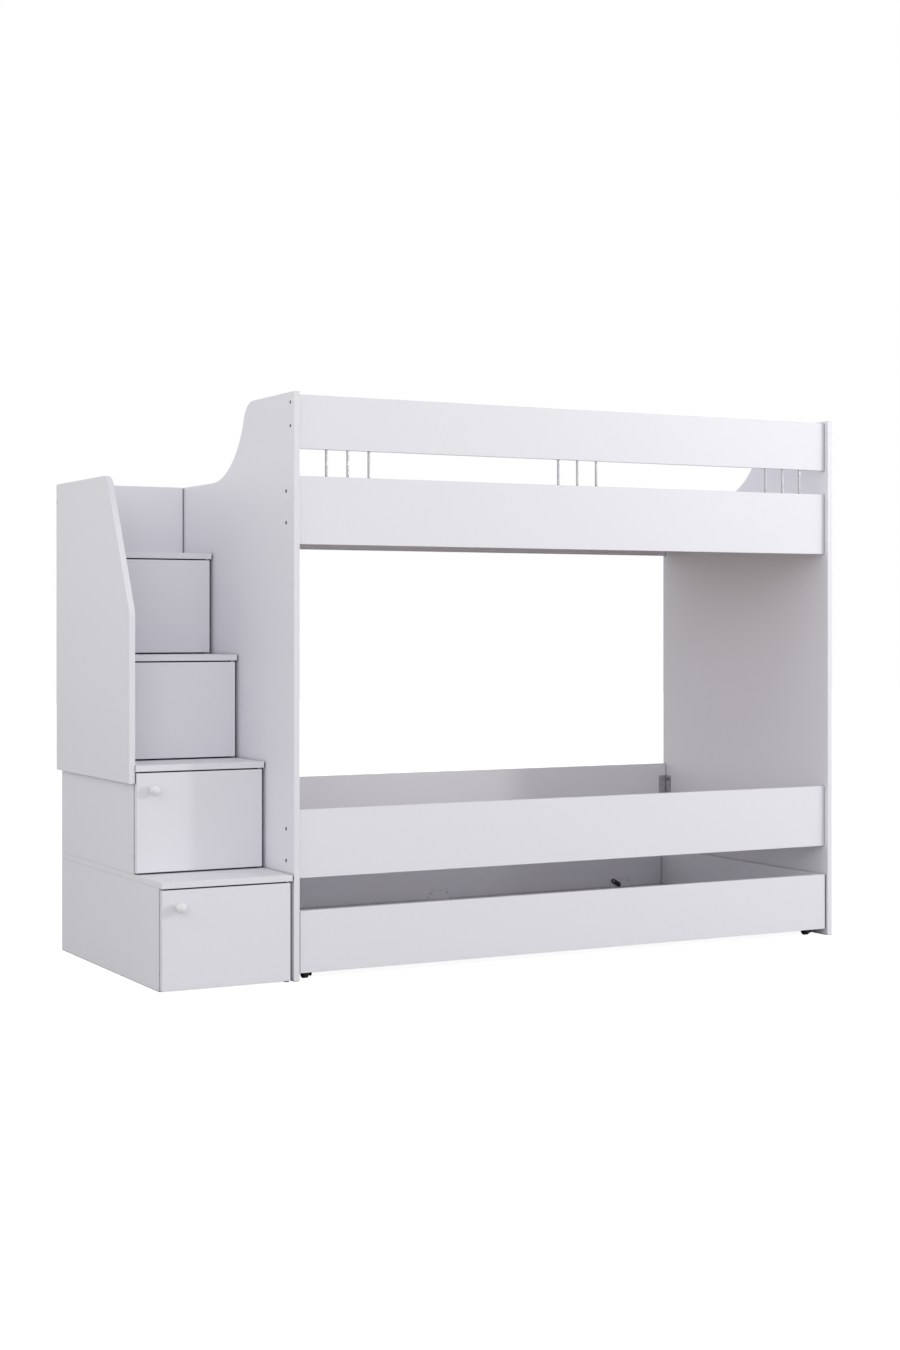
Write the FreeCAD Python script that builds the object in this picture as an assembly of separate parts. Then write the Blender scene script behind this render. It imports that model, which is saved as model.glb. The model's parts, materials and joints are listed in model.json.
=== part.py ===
import FreeCAD, Part
import math
import os
from collections import namedtuple

# White bunk bed with a storage stair at its left end and a trundle on casters below.
# Sizes are millimetres in a bench frame: x runs along the bed from the left end panel's outer
# face, y runs to the wall from the end panels' front edges, z runs up from the floor.
# Finished pieces are moved so that the origin lies on the floor under the middle of the whole bed.

# Boards
board = 18.0
edge_round = 1.2
cut_past = 1.0
touch = 1e-6

# Mattress that the bunks are made for
mattress_length = 1900.0
mattress_width = 900.0
mattress_play = 7.0

# End panels: high at the front, swept down to a low edge at the wall side
panel_height = 1705.0
panel_drop = 230.0
crown_radius = 75.0
sweep_radius = 270.0
sweep_inset = 338.0

# Rails
rail_setback = 18.0
rail_height = 198.0
lower_rail_z = 296.0
upper_rail_drop = 441.0
back_rail_lift = 21.0
guard_height = 157.0
guard_drop = 7.0

# Thin bars between the guard rail and the upper front rail, in three groups
bar_radius = 4.0
bar_pitch = 69.0
bars_in_group = 3
bar_group_inset = 166.0
bar_seat = 20.0
bar_clearance = 0.1

# Mattress bases on cleats: loose boards in the upper bunk, slats screwed down in the lower one
cleat_height = 25.0
cleat_lift = 4.0
base_board_count = 3
base_board_gap = 2.0
slat_count = 19
slat_width = 52.0
slat_thickness = 18.0
slat_play = 2.0
slat_screw_length = 35.0

# Perforated steel angles in the bunk corners
angle_height = 116.0
angle_leaf = 30.0
angle_thickness = 2.0
angle_hole_pitch = 23.0
angle_hole_count = 5
angle_bolt_inset = 21.0
angle_screw_inset = 18.0
lower_angle_rise = 95.0
upper_angle_rise = 109.0
angle_notch_play = 4.0

# Bolts of the angles
bolt_radius = 3.0
bolt_head_radius = 5.5
bolt_head_height = 3.5
bolt_end = 1.5
nut_flats = 10.0
nut_height = 5.0
hole_clearance = 0.15
socket_flats = 4.0
socket_depth = 2.5

# Panel screws, driven through a board's face into another board's edge
panel_screw_radius = 3.3
panel_screw_head_radius = 5.0
panel_screw_head_height = 3.0
panel_screw_length = 50.0
guard_screw_drops = (23.0, 91.0)
side_screw_inset = 60.0

# Countersunk screws of the steel fittings
plate_screw_radius = 2.0
plate_screw_head_radius = 3.8
plate_screw_head_height = 1.8
plate_screw_length = 16.0
cross_length = 4.4
cross_width = 0.9
cross_depth = 1.0

# Stair
stair_gap = 5.0
stair_width = 400.0
stair_front = -2.0
top_tread_depth = 252.0
first_rise = 309.0
top_tread_drop = 10.0
step_count = 4
stair_back_recess = 76.0
bottom_board_lift = 12.0

# Stair guard panel, outside the left sides of the stair
stair_guard_step = 1
stair_guard_inset = 7.0
stair_guard_skirt = 52.0
stair_guard_bend_rise = 129.0
stair_guard_lean = 198.0
stair_guard_drop = 2.0
stair_guard_corner = 55.0
stair_guard_bend_radius = 60.0
stair_guard_screw_drop = 56.0

# Dowels and ties of the stair
dowel_radius = 4.0
dowel_in_face = 9.0
dowel_in_edge = 20.0
dowel_inset = 40.0
dowel_stagger = 30.0
guard_dowel_depth = 12.0
tie_radius = 2.5
tie_depth = 13.0
tie_inset = 90.0
tie_spacer_radius = 10.0
tied_steps = (1, 3)

# Cupboard doors
door_left_inset = 2.0
door_right_inset = 7.0
door_back_gap = 6.0
door_play = 0.5
pivot_inset = 8.0
pin_radius = 3.0
pin_length = 14.0
pin_clearance = 0.05
collar_radius = 6.0
collar_height = 1.5
bracket_half_width = 7.0
bracket_thickness = 2.0
bracket_height = 45.0
bracket_lift = 1.0
bracket_screw_heights = (16.0, 35.0)
bracket_screw_shift = 2.0
stop_radius = 5.0
stop_play = 0.3
stop_inset = 45.0

# Knobs
knob_inset = 48.0
knob_projection = 38.0
knob_radius = 16.0
knob_neck_radius = 7.0
knob_stud_radius = 2.5
knob_stud_length = 12.0

# Trundle
trundle_setback = 8.0
trundle_end_gap = 5.0
trundle_back_gap = 5.0
trundle_lift = 22.0
trundle_height = 180.0
trundle_base_z = 58.0
trundle_base_thickness = 12.0
trundle_base_play = 3.0
trundle_board_count = 3
trundle_board_gap = 2.0
bearer_width = 90.0

# Steel clips that carry the trundle's base boards
clip_width = 80.0
clip_leaf = 25.0
clip_rise = 44.0
clip_thickness = 2.0
clip_end_inset = 200.0
clip_screw_spacing = 63.0
clip_screw_rise = 36.0

# Black turn buttons that hold the base boards down
button_width = 17.0
button_thickness = 3.0
button_play = 0.3
button_slope_deg = 30.0

# Casters
wheel_radius = 16.0
wheel_width = 16.0
wheel_round = 2.0
wheel_side_play = 0.6
hub_radius = 6.5
rim_inner_radius = 12.0
hub_groove = 2.0
axle_radius = 3.0
axle_clearance = 0.05
axle_head_radius = 4.5
axle_head_height = 1.5
caster_plate_x = 40.0
caster_plate_y = 44.0
caster_plate_thickness = 2.5
caster_screw_inset = 6.0
cheek_thickness = 2.0
cheek_width = 22.0
caster_margin = 3.0

V = FreeCAD.Vector
ALONG_X = V(1, 0, 0)
ALONG_Y = V(0, 1, 0)
ALONG_Z = V(0, 0, 1)

# Places that follow from the sizes
inner_length = mattress_length + 2 * mattress_play
inner_width = mattress_width + 2 * mattress_play
bed_length = inner_length + 2 * board
left_inner_x = board
right_inner_x = board + inner_length
front_inner_y = rail_setback + board
back_inner_y = front_inner_y + inner_width
bed_depth = back_inner_y + board
panel_low_height = panel_height - panel_drop
sweep_end = bed_depth - sweep_inset
upper_rail_z = panel_height - upper_rail_drop
slat_base_rise = back_rail_lift + cleat_lift + cleat_height
cleat_start_x = left_inner_x + angle_leaf + angle_notch_play
cleat_end_x = right_inner_x - angle_leaf - angle_notch_play
guard_rail_z = panel_height - guard_drop - guard_height
bolt_length = board + angle_thickness + nut_height + bolt_end
bolt_offset = (angle_hole_count - 1) / 2 * angle_hole_pitch

stair_right_x = -stair_gap
stair_left_x = stair_right_x - stair_width
stair_back_y = bed_depth - stair_back_recess
back_panel_y = stair_back_y - board
tread_going = (back_panel_y - top_tread_depth - stair_front) / (step_count - 1)
rise = (upper_rail_z - top_tread_drop - first_rise) / (step_count - 1)
side_set_back = board + door_back_gap
side_centres_x = (stair_left_x + board / 2, stair_right_x - board / 2)

door_left_x = stair_left_x + door_left_inset
door_right_x = stair_right_x - door_right_inset
door_bottom_gap = bracket_lift + bracket_thickness + collar_height
door_top_gap = bracket_thickness + collar_height + door_play
pivot_x = door_right_x - pivot_inset

trundle_left_x = left_inner_x + trundle_end_gap
trundle_right_x = right_inner_x - trundle_end_gap
trundle_front_y = trundle_setback + board
trundle_back_y = bed_depth - trundle_back_gap - board
trundle_top_z = trundle_lift + trundle_height
trundle_base_top = trundle_base_z + trundle_base_thickness
clip_centres_x = (trundle_left_x + clip_end_inset, bed_length / 2, trundle_right_x - clip_end_inset)
clip_base_z = trundle_base_z - clip_thickness
clip_screw_z = clip_base_z + clip_screw_rise
bearer_z = trundle_base_z - board
button_drop = clip_screw_z - trundle_base_top - button_play - button_width / 2

overall_left = stair_left_x - board
overall_front = stair_front - knob_projection
ORIGIN = V((overall_left + bed_length) / 2, (overall_front + bed_depth) / 2, 0)

Corner = namedtuple("Corner", "rail x into_x y into_y z")


def box(x0, x1, y0, y1, z0, z1):
    return Part.makeBox(x1 - x0, y1 - y0, z1 - z0, V(x0, y0, z0))


def panel(x0, x1, y0, y1, z0, z1):
    """A flat board with all its edges eased."""
    solid = box(x0, x1, y0, y1, z0, z1)
    return solid.makeFillet(edge_round, solid.Edges)


def rod(radius, length, start, direction):
    return Part.makeCylinder(radius, length, start, direction)


def hexagon(across_flats, height):
    """A hexagonal prism along +X from the origin."""
    radius = across_flats / math.sqrt(3)
    angles = [corner * math.pi / 3 for corner in range(7)]
    points = [V(0, radius * math.cos(angle), radius * math.sin(angle)) for angle in angles]
    return Part.Face(Part.makePolygon(points)).extrude(V(height, 0, 0))


def placed(shape, point, direction):
    """A copy of a shape made along +X, turned to a direction and moved to a point."""
    copy = shape.copy()
    copy.Placement = FreeCAD.Placement(point, FreeCAD.Rotation(ALONG_X, direction))
    return copy


def socket_screw(head_radius, head_height, shank_radius, length):
    """A screw along +X with a flat round head, its outer face at the origin, and a hexagon socket."""
    head = rod(head_radius, head_height, V(), ALONG_X)
    shank = rod(shank_radius, length, V(), ALONG_X)
    return head.fuse(shank).cut(hexagon(socket_flats, socket_depth)).removeSplitter()


def socket_screw_hole(head_radius, head_height, shank_radius, length):
    head = rod(head_radius + hole_clearance, head_height, V(), ALONG_X)
    return head.fuse(rod(shank_radius + hole_clearance, length, V(), ALONG_X))


def plate_screw(length=plate_screw_length):
    """A countersunk screw along +X with a cross recess in its head."""
    head = Part.makeCone(plate_screw_head_radius, plate_screw_radius, plate_screw_head_height, V(), ALONG_X)
    screw = head.fuse(rod(plate_screw_radius, length, V(), ALONG_X))
    half_length = cross_length / 2
    half_width = cross_width / 2
    upright = box(0, cross_depth, -half_width, half_width, -half_length, half_length)
    level = box(0, cross_depth, -half_length, half_length, -half_width, half_width)
    return screw.cut(upright.fuse(level)).removeSplitter()


def plate_screw_hole(length=plate_screw_length):
    radius = plate_screw_radius + hole_clearance
    mouth = plate_screw_head_radius + hole_clearance
    cone = Part.makeCone(mouth, radius, plate_screw_head_height, V(), ALONG_X)
    return cone.fuse(rod(radius, length + hole_clearance, V(), ALONG_X))


def drilled(solid, holes):
    return solid.cut(Part.makeCompound(holes)) if holes else solid


def outline_panel(edges, depth):
    """A board cut to an outline of edges in a plane across x, with its outline edges eased."""
    face = Part.Face(Part.Wire(edges))
    solid = face.extrude(V(depth, 0, 0))
    ends = (face.BoundBox.XMin, face.BoundBox.XMin + depth)
    rims = [edge for edge in solid.Edges if edge.BoundBox.XLength < touch
            and min(abs(edge.BoundBox.XMin - end) for end in ends) < touch]
    return solid.makeFillet(edge_round, rims)


def line(start, end):
    return Part.LineSegment(start, end).toShape()


def arc_about(centre, radius, start_angle, end_angle):
    """An arc in a plane across x, its angles counted from +y towards +z."""
    points = [centre + V(0, radius * math.cos(angle), radius * math.sin(angle))
              for angle in (start_angle, (start_angle + end_angle) / 2, end_angle)]
    return Part.Arc(*points).toShape()


def end_panel_outline(x):
    sweep_centre = V(x, sweep_end, panel_low_height + sweep_radius)
    crown_z = panel_height - crown_radius
    climb = sweep_centre.z - crown_z
    reach = math.sqrt((sweep_radius + crown_radius) ** 2 - climb ** 2)
    crown_centre = V(x, sweep_end - reach, crown_z)
    turn = math.atan2(climb, reach)
    front_foot = V(x, 0, 0)
    back_foot = V(x, bed_depth, 0)
    back_top = V(x, bed_depth, panel_low_height)
    sweep = arc_about(sweep_centre, sweep_radius, -math.pi / 2, turn - math.pi)
    crown = arc_about(crown_centre, crown_radius, turn, math.pi / 2)
    crown_top = crown_centre + V(0, 0, crown_radius)
    front_top = V(x, 0, panel_height)
    sweep_foot = V(x, sweep_end, panel_low_height)
    return [line(front_foot, back_foot), line(back_foot, back_top), line(back_top, sweep_foot),
            sweep, crown, line(crown_top, front_top), line(front_top, front_foot)]


def angle_corners():
    """Every bunk corner: its rail, the two inner faces that meet there, and the angle's middle height."""
    bunks = (("lower", lower_rail_z + lower_angle_rise), ("upper", upper_rail_z + upper_angle_rise))
    sides = (("front", front_inner_y, 1, 0.0), ("back", back_inner_y, -1, back_rail_lift))
    ends = ((left_inner_x, 1), (right_inner_x, -1))
    return [Corner(bunk + "_" + side, x, into_x, y, into_y, z + lift) for bunk, z in bunks
            for side, y, into_y, lift in sides for x, into_x in ends]


def angle_bolt_places(corner):
    """Centres of a corner's bolt heads on the end panel's outer face."""
    x = corner.x - corner.into_x * board
    y = corner.y + corner.into_y * angle_bolt_inset
    return [V(x, y, corner.z + offset) for offset in (-bolt_offset, bolt_offset)]


def angle_screw_places(corner):
    """Centres of a corner's screw heads on the leaf that lies on the rail."""
    x = corner.x + corner.into_x * angle_screw_inset
    y = corner.y + corner.into_y * angle_thickness
    return [V(x, y, corner.z + offset) for offset in (-bolt_offset, 0, bolt_offset)]


def corner_angle(corner):
    x_end = corner.x + corner.into_x * angle_leaf
    y_end = corner.y + corner.into_y * angle_leaf
    x_skin = corner.x + corner.into_x * angle_thickness
    y_skin = corner.y + corner.into_y * angle_thickness
    bottom = corner.z - angle_height / 2
    top = corner.z + angle_height / 2
    on_panel = box(min(corner.x, x_skin), max(corner.x, x_skin), min(corner.y, y_end), max(corner.y, y_end),
                   bottom, top)
    on_rail = box(min(corner.x, x_end), max(corner.x, x_end), min(corner.y, y_skin), max(corner.y, y_skin),
                  bottom, top)
    from_panel = V(corner.into_x, 0, 0)
    from_rail = V(0, corner.into_y, 0)
    into_rail = -from_rail
    depth = angle_thickness + 2 * cut_past
    holes = []
    for i in range(angle_hole_count):
        hole_centre = V(corner.x, corner.y, corner.z - bolt_offset + i * angle_hole_pitch)
        at_panel = hole_centre + from_rail * angle_bolt_inset - from_panel * cut_past
        at_rail = hole_centre + from_panel * angle_screw_inset - from_rail * cut_past
        holes.append(rod(bolt_radius + hole_clearance, depth, at_panel, from_panel))
        holes.append(rod(plate_screw_radius + hole_clearance, depth, at_rail, from_rail))
    holes += [placed(plate_screw_hole(), place, into_rail) for place in angle_screw_places(corner)]
    return drilled(on_panel.fuse(on_rail).removeSplitter(), holes)


def guard_screw_places(end):
    """Centres of the guard rail's screw heads on an end panel's outer face."""
    x = 0.0 if end > 0 else bed_length
    top = guard_rail_z + guard_height
    return [V(x, rail_setback + board / 2, top - drop) for drop in guard_screw_drops]


def end_panel(end):
    """The left (end = 1) or right (end = -1) end panel; end is the way into the bed along x."""
    solid = outline_panel(end_panel_outline(0.0 if end > 0 else right_inner_x), board)
    inward = V(end, 0, 0)
    bolt_hole = socket_screw_hole(bolt_head_radius, bolt_head_height, bolt_radius, bolt_length)
    holes = [placed(bolt_hole, place, inward) for corner in angle_corners() if corner.into_x == end
             for place in angle_bolt_places(corner)]
    holes += [placed(panel_screw_hole(), place, inward) for place in guard_screw_places(end)]
    if end > 0:
        holes += [rod(tie_radius + hole_clearance, tie_depth, V(0, y, z), ALONG_X) for y, z in tie_places()]
    return drilled(solid, holes)


def panel_screw():
    return socket_screw(panel_screw_head_radius, panel_screw_head_height, panel_screw_radius,
                        panel_screw_length)


def panel_screw_hole():
    return socket_screw_hole(panel_screw_head_radius, panel_screw_head_height, panel_screw_radius,
                             panel_screw_length + hole_clearance)


def bar_places_x():
    middle = bed_length / 2
    group_reach = inner_length / 2 - bar_group_inset
    first = -(bars_in_group - 1) / 2
    return [middle + group * group_reach + (first + i) * bar_pitch
            for group in (-1, 0, 1) for i in range(bars_in_group)]


def guard_bars():
    bottom = upper_rail_z + rail_height - bar_seat
    length = guard_rail_z + bar_seat - bottom
    y = rail_setback + board / 2
    return [rod(bar_radius, length, V(x, y, bottom), ALONG_Z) for x in bar_places_x()]


def bar_holes(z, upward):
    radius = bar_radius + bar_clearance
    y = rail_setback + board / 2
    return [rod(radius, bar_seat + bar_clearance, V(x, y, z), V(0, 0, upward)) for x in bar_places_x()]


def rail_screw_holes(rail):
    holes = []
    for corner in angle_corners():
        if corner.rail == rail:
            into_rail = V(0, -corner.into_y, 0)
            holes += [placed(plate_screw_hole(), place, into_rail) for place in angle_screw_places(corner)]
    return holes


def front_rail(z0, z1):
    return panel(left_inner_x, right_inner_x, rail_setback, front_inner_y, z0, z1)


def back_rail(z0, z1):
    return panel(left_inner_x, right_inner_x, back_inner_y, bed_depth, z0, z1)


def guard_rail():
    holes = bar_holes(guard_rail_z, 1)
    for end in (1, -1):
        holes += [placed(panel_screw_hole(), place, V(end, 0, 0)) for place in guard_screw_places(end)]
    return drilled(front_rail(guard_rail_z, guard_rail_z + guard_height), holes)


def upper_front_rail():
    top = upper_rail_z + rail_height
    return drilled(front_rail(upper_rail_z, top), bar_holes(top, -1) + rail_screw_holes("upper_front"))


def upper_back_rail():
    """Its top is level with the end panels' low edge."""
    solid = back_rail(upper_rail_z + back_rail_lift, panel_low_height)
    return drilled(solid, rail_screw_holes("upper_back"))


def lower_front_rail():
    return drilled(front_rail(lower_rail_z, lower_rail_z + rail_height), rail_screw_holes("lower_front"))


def lower_back_rail():
    bottom = lower_rail_z + back_rail_lift
    return drilled(back_rail(bottom, bottom + rail_height), rail_screw_holes("lower_back"))


def slat_starts_x():
    step = (cleat_end_x - cleat_start_x - slat_width) / (slat_count - 1)
    return [cleat_start_x + i * step for i in range(slat_count)]


def slat_screw_places():
    """Centres of the screw heads on the slats, one over each cleat."""
    top = lower_rail_z + slat_base_rise + slat_thickness
    return [V(x + slat_width / 2, y, top) for x in slat_starts_x()
            for y in (front_inner_y + board / 2, back_inner_y - board / 2)]


def slat_screw_holes():
    hole = plate_screw_hole(slat_screw_length)
    return [placed(hole, place, -ALONG_Z) for place in slat_screw_places()]


def cleats():
    """Strips along the insides of the rails, between the corner angles."""
    strips = []
    for rail_z, holes in ((lower_rail_z, slat_screw_holes()), (upper_rail_z, [])):
        top = rail_z + slat_base_rise
        for y in (front_inner_y, back_inner_y - board):
            strip = panel(cleat_start_x, cleat_end_x, y, y + board, top - cleat_height, top)
            strips.append(drilled(strip, holes) if holes else strip)
    return strips


def base_notches(bottom, top):
    """Room round the corner angles for the boards of a base."""
    notch = angle_leaf + angle_notch_play
    return [box(x - notch, x + notch, y - notch, y + notch, bottom - cut_past, top + cut_past)
            for x in (left_inner_x, right_inner_x) for y in (front_inner_y, back_inner_y)]


def upper_base_boards():
    """The upper bunk's boards, laid on the cleats and notched round the corner angles."""
    bottom = upper_rail_z + slat_base_rise
    top = bottom + slat_thickness
    step = inner_length / base_board_count
    boards = []
    for i in range(base_board_count):
        start = left_inner_x + i * step + base_board_gap / 2
        end = start + step - base_board_gap
        solid = panel(start, end, front_inner_y + slat_play, back_inner_y - slat_play, bottom, top)
        boards.append(drilled(solid, base_notches(bottom, top)))
    return boards


def lower_slats():
    """The lower bunk's slats, laid across from cleat to cleat."""
    bottom = lower_rail_z + slat_base_rise
    y0 = front_inner_y + slat_play
    y1 = back_inner_y - slat_play
    holes = slat_screw_holes()
    return [drilled(panel(x, x + slat_width, y0, y1, bottom, bottom + slat_thickness), holes)
            for x in slat_starts_x()]


def angle_bolts():
    bolt = socket_screw(bolt_head_radius, bolt_head_height, bolt_radius, bolt_length)
    return [placed(bolt, place, V(corner.into_x, 0, 0)) for corner in angle_corners()
            for place in angle_bolt_places(corner)]


def angle_nuts():
    nut = hexagon(nut_flats, nut_height).cut(rod(bolt_radius + hole_clearance, nut_height, V(), ALONG_X))
    depth = board + angle_thickness
    return [placed(nut, place + V(corner.into_x * depth, 0, 0), V(corner.into_x, 0, 0))
            for corner in angle_corners() for place in angle_bolt_places(corner)]


def tread_top(step):
    return first_rise + step * rise


def tread_front(step):
    return stair_front + step * tread_going


def box_floor(step):
    return tread_top(step - 1) if step else 0.0


def box_ceiling(step):
    return tread_top(step) - board


def side_front(step):
    return tread_front(step) + side_set_back


def stair_back_panel():
    solid = panel(stair_left_x, stair_right_x, back_panel_y, stair_back_y, 0, panel_low_height)
    holes = [placed(panel_screw_hole(), place, -ALONG_Y) for place in back_screw_places()]
    holes += [placed(panel_screw_hole(), place, ALONG_X) for place in stair_guard_screw_places()]
    return drilled(solid, holes)


def back_screw_places():
    """Centres of the screw heads on the stair's back, two for each cupboard side."""
    return [V(x, stair_back_y, z) for step in range(step_count) for x in side_centres_x
            for z in (box_floor(step) + side_screw_inset, box_ceiling(step) - side_screw_inset)]


def stair_guard_screw_places():
    top = panel_low_height - stair_guard_drop
    return [V(stair_left_x - board, back_panel_y + board / 2, top - stair_guard_screw_drop)]


def tread_dowels():
    """Dowels between the cupboard sides and the treads, as lists of start point and length."""
    spans = []
    length = dowel_in_edge + dowel_in_face
    for step in range(step_count):
        for x in side_centres_x:
            for y in (side_front(step) + dowel_inset, back_panel_y - dowel_inset):
                spans.append((V(x, y, box_ceiling(step) - dowel_in_edge), ALONG_Z, length))
            if step:
                inset = dowel_inset + dowel_stagger
                for y in (side_front(step) + inset, back_panel_y - inset):
                    spans.append((V(x, y, box_floor(step) - dowel_in_face), ALONG_Z, length))
    return spans


def stair_guard_dowels():
    """Dowels between the guard panel and the cupboard sides behind it."""
    spans = []
    for step in range(stair_guard_step + 1, step_count):
        for y in (side_front(step) + dowel_inset, back_panel_y - dowel_inset):
            for z in (box_floor(step) + side_screw_inset, box_ceiling(step) - side_screw_inset):
                spans.append((V(stair_left_x - guard_dowel_depth, y, z), ALONG_X, 2 * guard_dowel_depth))
    return spans


def dowel_holes():
    radius = dowel_radius + hole_clearance
    return [rod(radius, length + 2 * hole_clearance, start - direction * hole_clearance, direction)
            for start, direction, length in tread_dowels() + stair_guard_dowels()]


def stair_dowels():
    return [rod(dowel_radius, length, start, direction)
            for start, direction, length in tread_dowels() + stair_guard_dowels()]


def tie_places():
    """Places (y, z) of the screws that tie the second and the top cupboard to the end panel."""
    return [(y, (box_floor(step) + box_ceiling(step)) / 2) for step in tied_steps
            for y in (side_front(step) + tie_inset, back_panel_y - tie_inset)]


def stair_ties():
    screw = socket_screw(panel_screw_head_radius, panel_screw_head_height, tie_radius,
                         board + stair_gap + tie_depth)
    return [placed(screw, V(stair_right_x - board, y, z), ALONG_X) for y, z in tie_places()]


def tie_spacers():
    hole_radius = tie_radius + hole_clearance
    ring = rod(tie_spacer_radius, stair_gap, V(), ALONG_X).cut(rod(hole_radius, stair_gap, V(), ALONG_X))
    return [placed(ring, V(stair_right_x, y, z), ALONG_X) for y, z in tie_places()]


def tread(step):
    solid = panel(stair_left_x, stair_right_x, tread_front(step), back_panel_y,
                  box_ceiling(step), tread_top(step))
    return drilled(solid, dowel_holes())


def stair_side(step, x):
    """A cupboard side whose outer face or inner face starts at x."""
    solid = panel(x, x + board, side_front(step), back_panel_y, box_floor(step), box_ceiling(step))
    holes = dowel_holes()
    holes += [placed(panel_screw_hole(), place, -ALONG_Y) for place in back_screw_places()]
    if x > stair_left_x:
        holes += [placed(plate_screw_hole(), place, ALONG_Y) for place in bracket_screw_places(step)]
        tie_hole = socket_screw_hole(panel_screw_head_radius, panel_screw_head_height, tie_radius, board)
        holes += [placed(tie_hole, V(x, y, z), ALONG_X) for y, z in tie_places()]
    return drilled(solid, holes)


def stair_bottom_board():
    return panel(stair_left_x + board, stair_right_x - board, side_front(0), back_panel_y,
                 bottom_board_lift, bottom_board_lift + board)


def rounded_corner(before, corner, after, radius):
    """The tangent points and the arc that round an outline's corner."""
    towards_start = (before - corner).normalize()
    towards_end = (after - corner).normalize()
    half_angle = towards_start.getAngle(towards_end) / 2
    run = radius / math.tan(half_angle)
    start = corner + towards_start * run
    end = corner + towards_end * run
    middle = (towards_start + towards_end).normalize()
    crest = corner + middle * (radius / math.sin(half_angle) - radius)
    return start, end, Part.Arc(start, crest, end).toShape()


def stair_guard_panel():
    x = stair_left_x - board
    front_y = tread_front(stair_guard_step) + stair_guard_inset
    bottom = tread_top(stair_guard_step) - stair_guard_skirt
    top = panel_low_height - stair_guard_drop
    back_foot = V(x, stair_back_y, bottom)
    front_foot = V(x, front_y, bottom)
    bend = V(x, front_y, tread_top(stair_guard_step + 1) + stair_guard_bend_rise)
    crest = V(x, front_y + stair_guard_lean, top)
    back_top = V(x, stair_back_y, top)
    bend_start, bend_end, bend_arc = rounded_corner(front_foot, bend, crest, stair_guard_bend_radius)
    crest_start, crest_end, crest_arc = rounded_corner(bend, crest, back_top, stair_guard_corner)
    edges = [line(back_foot, front_foot), line(front_foot, bend_start), bend_arc,
             line(bend_end, crest_start), crest_arc, line(crest_end, back_top), line(back_top, back_foot)]
    holes = dowel_holes()
    holes += [placed(panel_screw_hole(), place, ALONG_X) for place in stair_guard_screw_places()]
    return drilled(outline_panel(edges, board), holes)


def panel_screws():
    screw = panel_screw()
    screws = [placed(screw, place, V(end, 0, 0)) for end in (1, -1) for place in guard_screw_places(end)]
    screws += [placed(screw, place, ALONG_X) for place in stair_guard_screw_places()]
    screws += [placed(screw, place, -ALONG_Y) for place in back_screw_places()]
    return screws


def pivot_y(step):
    return tread_front(step) + board / 2


def door_bottom(step):
    return box_floor(step) + door_bottom_gap


def door_top(step):
    return box_ceiling(step) - door_top_gap


def bracket_levels(step):
    """The two pivot brackets of a door: lowest face of the lug, and the way from it to the door."""
    return ((box_floor(step) + bracket_lift, 1), (box_ceiling(step), -1))


def bracket_screw_places(step):
    x = pivot_x + bracket_screw_shift
    y = side_front(step) - bracket_thickness
    return [V(x, y, level + to_door * height) for level, to_door in bracket_levels(step)
            for height in bracket_screw_heights]


def pivot_bracket(step, level, to_door):
    """An angle plate on a cupboard side's front edge, with a collared pin that carries the door."""
    x0 = pivot_x - bracket_half_width
    x1 = pivot_x + bracket_half_width
    y0 = pivot_y(step)
    y1 = side_front(step)
    up = V(0, 0, to_door)
    lug_end = level + to_door * bracket_thickness
    leaf_end = level + to_door * bracket_height
    axis_foot = V(pivot_x, y0, level)
    lug = box(x0, x1, y0, y1, min(level, lug_end), max(level, lug_end))
    leaf = box(x0, x1, y1 - bracket_thickness, y1, min(level, leaf_end), max(level, leaf_end))
    nose = rod(bracket_half_width, bracket_thickness, axis_foot, up)
    collar = rod(collar_radius, bracket_thickness + collar_height, axis_foot, up)
    pin = rod(pin_radius, bracket_thickness + collar_height + pin_length, axis_foot, up)
    plate = lug.multiFuse([leaf, nose, collar, pin]).removeSplitter()
    holes = [placed(plate_screw_hole(), place, ALONG_Y) for place in bracket_screw_places(step)]
    return drilled(plate, holes)


def pivot_brackets():
    return [pivot_bracket(step, level, to_door) for step in range(step_count)
            for level, to_door in bracket_levels(step)]


def plate_screws():
    screw = plate_screw()
    screws = [placed(screw, place, V(0, -corner.into_y, 0)) for corner in angle_corners()
              for place in angle_screw_places(corner)]
    for step in range(step_count):
        screws += [placed(screw, place, ALONG_Y) for place in bracket_screw_places(step)]
    slat_screw = plate_screw(slat_screw_length)
    screws += [placed(slat_screw, place, -ALONG_Z) for place in slat_screw_places()]
    return screws


def knob_place(step):
    return V(door_left_x + knob_inset, tread_front(step), door_top(step) - knob_inset)


def door(step):
    front = tread_front(step)
    solid = panel(door_left_x, door_right_x, front, front + board, door_bottom(step), door_top(step))
    radius = pin_radius + pin_clearance
    depth = pin_length + door_play
    low_pivot = V(pivot_x, pivot_y(step), door_bottom(step))
    high_pivot = V(pivot_x, pivot_y(step), door_top(step))
    stud_radius = knob_stud_radius + hole_clearance
    stud_hole = rod(stud_radius, knob_stud_length + hole_clearance, knob_place(step), ALONG_Y)
    sockets = [rod(radius, depth, low_pivot, ALONG_Z), rod(radius, depth, high_pivot, -ALONG_Z)]
    return drilled(solid, sockets + [stud_hole])


def knob(step):
    """A turned ball knob with a short neck and a stud that screws into the door."""
    ball_centre = knob_projection - knob_radius
    place = knob_place(step)
    ball = Part.makeSphere(knob_radius, place - ALONG_Y * ball_centre)
    neck = rod(knob_neck_radius, ball_centre, place, -ALONG_Y)
    stud_start = place - ALONG_Y * knob_neck_radius
    stud = rod(knob_stud_radius, knob_stud_length + knob_neck_radius, stud_start, ALONG_Y)
    return ball.multiFuse([neck, stud]).removeSplitter()


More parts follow.
